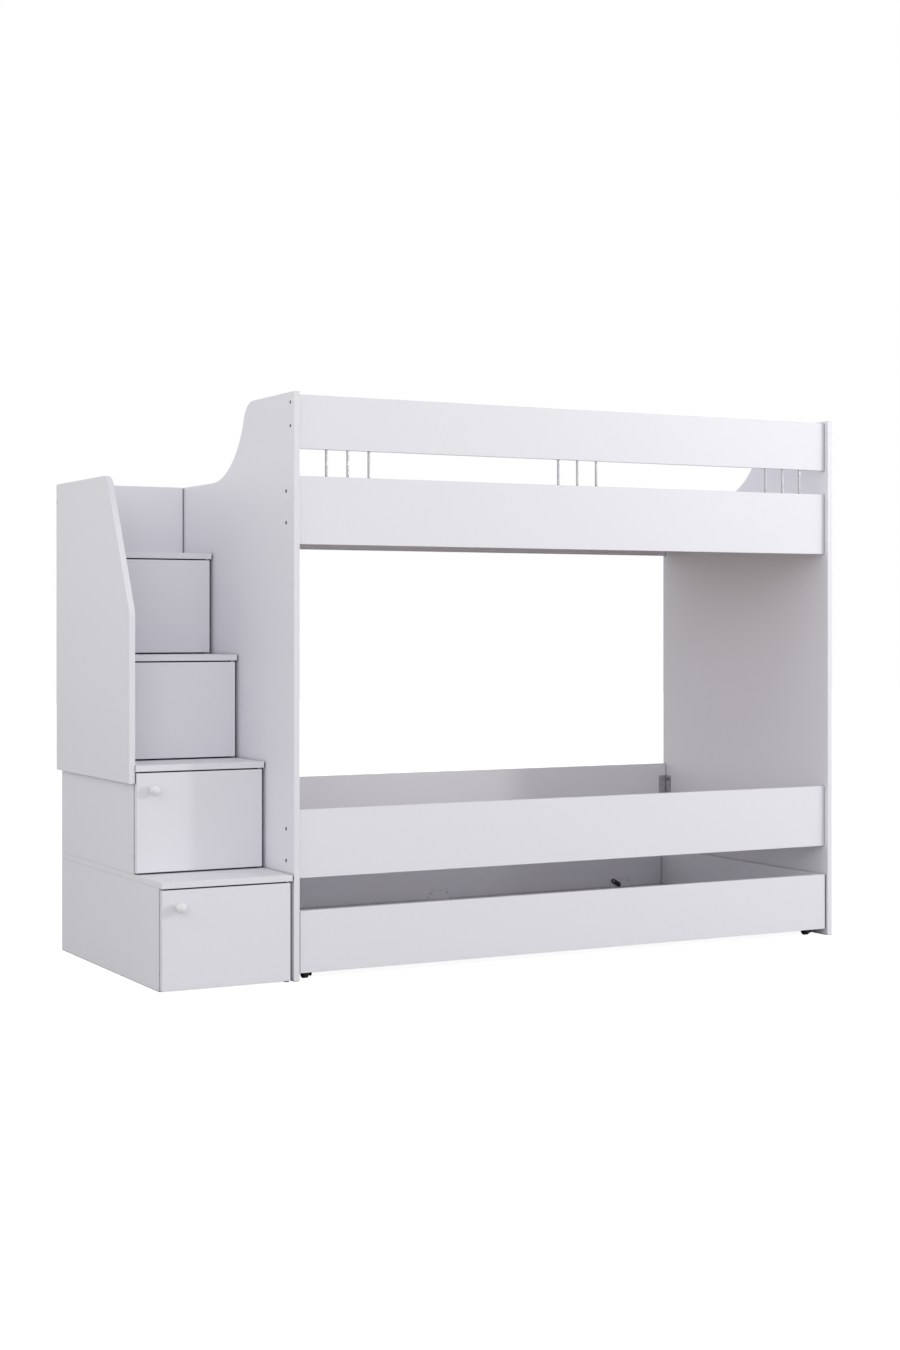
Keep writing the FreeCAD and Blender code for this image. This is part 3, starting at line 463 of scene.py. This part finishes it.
class FittingLook(bpy.types.PropertyGroup):
    """Finish of the fittings."""
    bar_colour: FloatVectorProperty(name="Bar colour", description="Colour of the guard bars",
                                    subtype="COLOR", default=(0.42, 0.42, 0.44), min=0.0, max=1.0)
    bolt_colour: FloatVectorProperty(name="Bolt colour",
                                     description="Colour of the bolt heads on the end panels",
                                     subtype="COLOR", default=(0.13, 0.13, 0.145), min=0.0, max=1.0)
    zinc_colour: FloatVectorProperty(name="Zinc colour",
                                     description="Colour of the plated angles and screws",
                                     subtype="COLOR", default=(0.62, 0.62, 0.64), min=0.0, max=1.0)
    black_colour: FloatVectorProperty(name="Black colour", description="Colour of the black fittings",
                                      subtype="COLOR", default=(0.02, 0.02, 0.022), min=0.0, max=1.0)
    base_colour: FloatVectorProperty(name="Base colour", description="Colour of the raw chipboard",
                                     subtype="COLOR", default=(0.6, 0.36, 0.25), min=0.0, max=1.0)
    coat_colour: FloatVectorProperty(name="Coat colour",
                                     description="Colour of the chipboard's white top", subtype="COLOR",
                                     default=(0.81, 0.805, 0.855), min=0.0, max=1.0)
    knob_colour: FloatVectorProperty(name="Knob colour", description="Colour of the knobs",
                                     subtype="COLOR", default=(0.84, 0.84, 0.87), min=0.0, max=1.0)


class KnobSizes(bpy.types.PropertyGroup):
    """Shape of the turned knobs; the ball keeps the node's radius and reach."""
    foot_radius: FloatProperty(name="Foot radius", description="Radius of the flare on the door",
                               default=0.0105, min=0.004, max=0.02, subtype="DISTANCE", unit="LENGTH",
                               precision=4)
    waist_radius: FloatProperty(name="Waist radius", description="Radius of the narrow neck",
                                default=0.0072, min=0.003, max=0.02, subtype="DISTANCE", unit="LENGTH",
                                precision=4)
    sides: IntProperty(name="Sides", description="Faces round a knob", default=40, min=12, max=96)


class WheelSizes(bpy.types.PropertyGroup):
    """Shape of the caster wheels; rim and width come from the nodes."""
    hub_radius: FloatProperty(name="Hub radius", description="Radius of the raised hub", default=0.0065,
                              min=0.003, max=0.02, subtype="DISTANCE", unit="LENGTH", precision=4)
    bore_radius: FloatProperty(name="Bore radius", description="Radius of the axle hole", default=0.00305,
                               min=0.001, max=0.01, subtype="DISTANCE", unit="LENGTH", precision=5)
    groove: FloatProperty(name="Groove depth", description="Depth of the dish between hub and rim",
                          default=0.002, min=0.0, max=0.006, subtype="DISTANCE", unit="LENGTH",
                          precision=4)
    sides: IntProperty(name="Sides", description="Faces round a wheel", default=56, min=16, max=128)


def lamp_place(name, place):
    """The place of a lamp as a setting."""
    return FloatVectorProperty(name=name + " place",
                               description=name + " from the left panel's front foot", default=place,
                               subtype="XYZ", unit="LENGTH")


def lamp_size(name, size):
    """The width of a square lamp as a setting."""
    return FloatProperty(name=name + " size", description="Width of the " + name.lower(), default=size,
                         min=0.05, max=10.0, subtype="DISTANCE", unit="LENGTH")


def lamp_power(name, power):
    """The power of a lamp as a setting."""
    return FloatProperty(name=name + " power", description="Power of the " + name.lower(), default=power,
                         min=0.0, max=5000.0, subtype="POWER", unit="POWER")


class StudioLook(bpy.types.PropertyGroup):
    """Camera and light of the studio."""
    camera_place: FloatVectorProperty(name="Camera place",
                                      description="Camera from the left panel's front foot",
                                      default=(-2.4868, -5.569, 1.0342), subtype="XYZ", unit="LENGTH")
    camera_turn: FloatProperty(name="Camera turn",
                               description="Turn of the camera towards the bed's right end",
                               default=math.radians(28.04), subtype="ANGLE", unit="ROTATION")
    lens: FloatProperty(name="Lens", description="Focal length on a 36 mm long side", default=56.27,
                        min=10, max=300, subtype="DISTANCE_CAMERA", unit="CAMERA")
    key_place: lamp_place("Key lamp", (4.79, -4.19, 2.5))
    key_size: lamp_size("Key lamp", 0.5)
    key_power: lamp_power("Key lamp", 64.0)
    side_place: lamp_place("Side lamp", (6.0, -3.2, 1.8))
    side_size: lamp_size("Side lamp", 3.0)
    side_power: lamp_power("Side lamp", 46.0)
    fill_place: lamp_place("Fill lamp", (-3.0, -4.5, 2.6))
    fill_size: lamp_size("Fill lamp", 2.5)
    fill_power: lamp_power("Fill lamp", 42.0)
    stair_place: lamp_place("Stair lamp", (-4.5, -1.0, 3.6))
    stair_size: lamp_size("Stair lamp", 2.5)
    stair_power: lamp_power("Stair lamp", 22.0)
    ceiling_place: lamp_place("Ceiling lamp", (0.8, 0.5, 4.6))
    ceiling_size: lamp_size("Ceiling lamp", 5.0)
    ceiling_power: lamp_power("Ceiling lamp", 34.0)
    room_level: FloatProperty(name="Room level", description="Light from the room's walls", default=1.1,
                              min=0.0, max=4.0)
    ceiling_level: FloatProperty(name="Ceiling level", description="Light from straight above",
                                 default=0.3, min=0.0, max=4.0)
    floor_tone: FloatProperty(name="Floor tone",
                              description="How pale the floor is to the light that it sends back",
                              default=0.56, min=0.0, max=1.0, subtype="FACTOR")
    floor_glow: FloatProperty(name="Floor glow",
                              description="White that the floor shows to the camera in full shadow",
                              default=0.93, min=0.0, max=1.0, subtype="FACTOR")
    floor_size: FloatProperty(name="Floor size", description="Width of the floor", default=40.0, min=5,
                              max=200, subtype="DISTANCE", unit="LENGTH")


class BUNK_OT_boards(bpy.types.Operator):
    """Finish every board in white melamine"""
    bl_idname = "bunk.finish_boards"
    bl_label = "Finish boards"

    def execute(self, context):
        paint(nodes_with("white_board"), white_melamine(context.scene.bunk_boards))
        return {"FINISHED"}


class BUNK_OT_fittings(bpy.types.Operator):
    """Finish the steel angles, screws, brackets, pads, dowels, spacers and base boards"""
    bl_idname = "bunk.finish_fittings"
    bl_label = "Finish fittings"

    def execute(self, context):
        look = context.scene.bunk_fittings
        black = tuple(look.black_colour)
        white = tuple(look.knob_colour)
        finishes = {
            "zinc_steel": metal("zinc_plate", tuple(look.zinc_colour), roughness=0.45, grain=400.0,
                                stretch=EVEN, tarnish=0.8),
            "black_steel": moulded("black_powder_coat", black, roughness=0.42, grain=1500.0, worn=WORN_BLACK),
            "pale_rubber": moulded("pale_rubber", RUBBER, roughness=0.75, grain=1800.0, worn=WORN_RUBBER),
            "white_steel": moulded("white_powder_coat", white, roughness=0.4, grain=1500.0,
                                   worn=shaded(white, WORN_WHITE)),
            "grey_nylon": moulded("grey_nylon", NYLON, roughness=0.5, grain=1200.0, worn=WORN_NYLON),
            "beech_dowel": beech(),
            "base_wood": base_board(look),
        }
        for slot, material in finishes.items():
            paint(nodes_with(slot), material)
        paint(("angle_bolts", "panel_screws"), bolt_steel(look))
        return {"FINISHED"}


class BUNK_OT_bars(bpy.types.Operator):
    """Draw the thin guard bars as smooth satin rods with eased ends"""
    bl_idname = "bunk.draw_bars"
    bl_label = "Draw guard bars"

    def execute(self, context):
        look = context.scene.bunk_fittings
        satin = metal("satin_bar", tuple(look.bar_colour), roughness=0.3, grain=300.0,
                      stretch=DRAWN_STRETCH, tarnish=0.92)
        low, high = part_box("guard_bars")
        radius = (high.y - low.y) / 2
        length = high.z - low.z
        ease = radius / 8
        rings = [(0.0, radius - ease), (ease, radius), (length - ease, radius), (length, radius - ease)]
        pattern = turned("bar_pattern", rings, BAR_SIDES, satin)
        bars = []
        for x in self.centres_x(2 * radius):
            bar = copied(pattern, "satin_guard_bars")
            settle(bar, (x, (low.y + high.y) / 2, low.z))
            bars.append(bar)
        remove(pattern)
        start_fresh()
        for bar in bars:
            bar.select_set(True)
        bpy.context.view_layer.objects.active = bars[0]
        bpy.ops.object.join()
        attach(bars[0], body_of("guard_bars"))
        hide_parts("guard_bars")
        return {"FINISHED"}

    def centres_x(self, width):
        """Middles of the node's bars, which stand further apart than their width."""
        places = sorted(vertex.co.x for vertex in NODES["guard_bars"].data.vertices)
        starts = [places[0]] + [x for before, x in zip(places, places[1:]) if x - before > width]
        return [start + width / 2 for start in starts]


class BUNK_OT_knobs(bpy.types.Operator):
    """Turn the door knobs"""
    bl_idname = "bunk.turn_knobs"
    bl_label = "Turn knobs"

    def execute(self, context):
        sizes = context.scene.bunk_knobs
        white = tuple(context.scene.bunk_fittings.knob_colour)
        gloss = moulded("knob_gloss", white, roughness=0.16, grain=600.0, worn=shaded(white, WORN_WHITE),
                        depth=GLOSS_SKIN)
        low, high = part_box(KNOBS[0])
        radius = (high.x - low.x) / 2
        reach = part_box(DOORS[0])[0].y - low.y
        centre = reach - radius
        foot = sizes.foot_radius
        waist = sizes.waist_radius
        join = math.pi - math.asin((waist + BALL_FLARE) / radius)
        rings = [(0.0, foot), (FOOT_LIP, foot), (FOOT_SHOULDER, foot - SHOULDER_EASE),
                 (NECK, waist + NECK_EASE), (WAIST, waist)]
        rings += ball_rings(centre, radius, join, BALL_RINGS)
        pattern = turned("knob_pattern", rings, sizes.sides, gloss)
        for node, door in zip(KNOBS, DOORS):
            low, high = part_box(node)
            knob = copied(pattern, "turned_" + node)
            door_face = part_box(door)[0].y
            settle(knob, ((low.x + high.x) / 2, door_face, (low.z + high.z) / 2), (math.pi / 2, 0, 0))
            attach(knob, body_of(node))
            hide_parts(node)
        remove(pattern)
        return {"FINISHED"}


class BUNK_OT_wheels(bpy.types.Operator):
    """Mould the caster wheels with a rounded tread, a dished side and a bored hub"""
    bl_idname = "bunk.mould_wheels"
    bl_label = "Mould wheels"

    def execute(self, context):
        sizes = context.scene.bunk_wheels
        black = moulded("black_nylon", WHEEL_BLACK, roughness=0.46, grain=900.0, worn=WORN_WHEEL)
        low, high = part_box(WHEELS[0])
        radius = (high.z - low.z) / 2
        half = (high.x - low.x) / 2
        dish = half - sizes.groove
        rim = radius - RIM_WIDTH
        hub = sizes.hub_radius
        side = [(half, sizes.bore_radius), (half, hub - RIM_EASE), (half - RIM_EASE, hub),
                (dish, hub + DISH_SLOPE), (dish, rim - DISH_SLOPE), (half - RIM_EASE, rim),
                (half, rim + RIM_EASE)]
        angles = [math.radians(degrees) for degrees in TREAD_DEGREES]
        shoulder = [(half - TREAD_ROUND + TREAD_ROUND * math.cos(angle),
                     radius - TREAD_ROUND + TREAD_ROUND * math.sin(angle)) for angle in angles]
        outline = side + shoulder
        rings = outline + [(-height, ring) for height, ring in reversed(outline)]
        rings = rings + [rings[0]]
        pattern = turned("wheel_pattern", rings, sizes.sides, black)
        self.close_bore(pattern)
        for node in WHEELS:
            low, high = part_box(node)
            wheel = copied(pattern, "moulded_" + node)
            settle(wheel, (low + high) / 2, (0, math.pi / 2, 0))
            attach(wheel, body_of(node))
            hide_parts(node)
        remove(pattern)
        return {"FINISHED"}

    def close_bore(self, pattern):
        """Opens the two flat caps that the turning leaves in the bore and welds the wall shut."""
        start_fresh()
        pattern.select_set(True)
        bpy.context.view_layer.objects.active = pattern
        bpy.ops.object.mode_set(mode="EDIT")
        bpy.ops.mesh.select_all(action="DESELECT")
        bpy.ops.mesh.select_face_by_sides(number=4, type="GREATER")
        bpy.ops.mesh.delete(type="ONLY_FACE")
        bpy.ops.mesh.select_all(action="SELECT")
        bpy.ops.mesh.remove_doubles(threshold=WELD)
        bpy.ops.mesh.normals_make_consistent(inside=False)
        bpy.ops.object.mode_set(mode="OBJECT")


class BUNK_OT_stage(bpy.types.Operator):
    """Set the floor, the room's light, the lamps and the camera"""
    bl_idname = "bunk.set_stage"
    bl_label = "Set stage"

    def execute(self, context):
        look = context.scene.bunk_studio
        self.lay_floor(look)
        self.light_room(context.scene, look)
        middle = (CAD_BOX[0] + CAD_BOX[1]) / 2
        for lamp in ("key", "side", "fill", "stair", "ceiling"):
            place = FRONT_FOOT + Vector(getattr(look, lamp + "_place"))
            size = getattr(look, lamp + "_size")
            self.hang_lamp(lamp + "_lamp", place, middle, size, getattr(look, lamp + "_power"))
        self.stand_camera(context.scene, look)
        context.scene.view_settings.view_transform = "Standard"
        return {"FINISHED"}

    def lay_floor(self, look):
        """A pale floor that looks white to the camera and still takes the bed's shadow."""
        start_fresh()
        bpy.ops.mesh.primitive_plane_add(size=look.floor_size, location=(0, 0, 0))
        floor = bpy.context.object
        floor.name = "studio_floor"
        material, tree, surface, _ = new_material("studio_floor")
        surface.inputs["Base Color"].default_value = (look.floor_tone, look.floor_tone, look.floor_tone, 1.0)
        surface.inputs["Roughness"].default_value = 1.0
        surface.inputs["Specular IOR Level"].default_value = 0.0
        surface.inputs["Emission Color"].default_value = (1.0, 1.0, 1.0, 1.0)
        glow = add_node(tree, "ShaderNodeMath", [(1, look.floor_glow)], operation="MULTIPLY")
        path = add_node(tree, "ShaderNodeLightPath")
        tree.links.new(path.outputs["Is Camera Ray"], glow.inputs[0])
        tree.links.new(glow.outputs["Value"], surface.inputs["Emission Strength"])
        floor.data.materials.append(material)

    def light_room(self, scene, look):
        """Light from all sides, from bright walls to a dimmer ceiling; the camera sees plain white."""
        world = bpy.data.worlds.new("studio_room")
        world.use_nodes = True
        scene.world = world
        tree = world.node_tree
        background = tree.nodes["Background"]
        background.inputs["Color"].default_value = (1.0, 1.0, 1.0, 1.0)
        way = add_node(tree, "ShaderNodeTexCoord")
        parts = add_node(tree, "ShaderNodeSeparateXYZ")
        tree.links.new(way.outputs["Generated"], parts.inputs["Vector"])
        around = add_node(tree, "ShaderNodeMapRange",
                          [("To Min", look.room_level), ("To Max", look.ceiling_level)])
        tree.links.new(parts.outputs["Z"], around.inputs["Value"])
        level = add_node(tree, "ShaderNodeMapRange", [("To Max", 1.0)])
        tree.links.new(around.outputs["Result"], level.inputs["To Min"])
        path = add_node(tree, "ShaderNodeLightPath")
        tree.links.new(path.outputs["Is Camera Ray"], level.inputs["Value"])
        tree.links.new(level.outputs["Result"], background.inputs["Strength"])

    def hang_lamp(self, name, place, target, size, power):
        """A square lamp that looks at its target."""
        start_fresh()
        bpy.ops.object.light_add(type="AREA", location=place)
        lamp = bpy.context.object
        lamp.name = name
        lamp.data.size = size
        lamp.data.energy = power
        lamp.rotation_euler = (target - place).to_track_quat("-Z", "Y").to_euler()

    def stand_camera(self, scene, look):
        """A level camera where the photograph was taken from, with its picture shifted off the lens axis."""
        start_fresh()
        bpy.ops.object.camera_add(location=FRONT_FOOT + Vector(look.camera_place),
                                  rotation=(math.pi / 2, 0, -look.camera_turn))
        camera = bpy.context.object
        camera.name = "photo_camera"
        camera.data.lens = look.lens
        camera.data.sensor_width = SENSOR
        camera.data.shift_x = SHIFT_RIGHT / IMAGE_LONG_SIDE
        camera.data.shift_y = SHIFT_UP / IMAGE_LONG_SIDE
        scene.camera = camera


class BUNK_PT_panel(bpy.types.Panel):
    """Sidebar panel of the bunk bed"""
    bl_idname = "BUNK_PT_panel"
    bl_label = "Bunk bed"
    bl_space_type = "VIEW_3D"
    bl_region_type = "UI"
    bl_category = "Bunk bed"

    def draw(self, context):
        for operator in OPERATORS:
            self.layout.operator(operator.bl_idname)
        for name, group in GROUPS.items():
            box = self.layout.box()
            for prop in group.__annotations__:
                box.prop(getattr(context.scene, name), prop)


GROUPS = {
    "bunk_boards": BoardLook,
    "bunk_fittings": FittingLook,
    "bunk_knobs": KnobSizes,
    "bunk_wheels": WheelSizes,
    "bunk_studio": StudioLook,
}
OPERATORS = (BUNK_OT_boards, BUNK_OT_fittings, BUNK_OT_bars, BUNK_OT_knobs, BUNK_OT_wheels, BUNK_OT_stage)
CLASSES = (*GROUPS.values(), *OPERATORS, BUNK_PT_panel)


def register():
    for cls in CLASSES:
        bpy.utils.register_class(cls)
    for name, group in GROUPS.items():
        setattr(bpy.types.Scene, name, PointerProperty(type=group))


def unregister():
    for name in GROUPS:
        delattr(bpy.types.Scene, name)
    for cls in reversed(CLASSES):
        bpy.utils.unregister_class(cls)


def main():
    register()
    bpy.ops.bunk.finish_boards()
    bpy.ops.bunk.finish_fittings()
    bpy.ops.bunk.draw_bars()
    bpy.ops.bunk.turn_knobs()
    bpy.ops.bunk.mould_wheels()
    bpy.ops.bunk.set_stage()


if __name__ == "__main__":
    main()
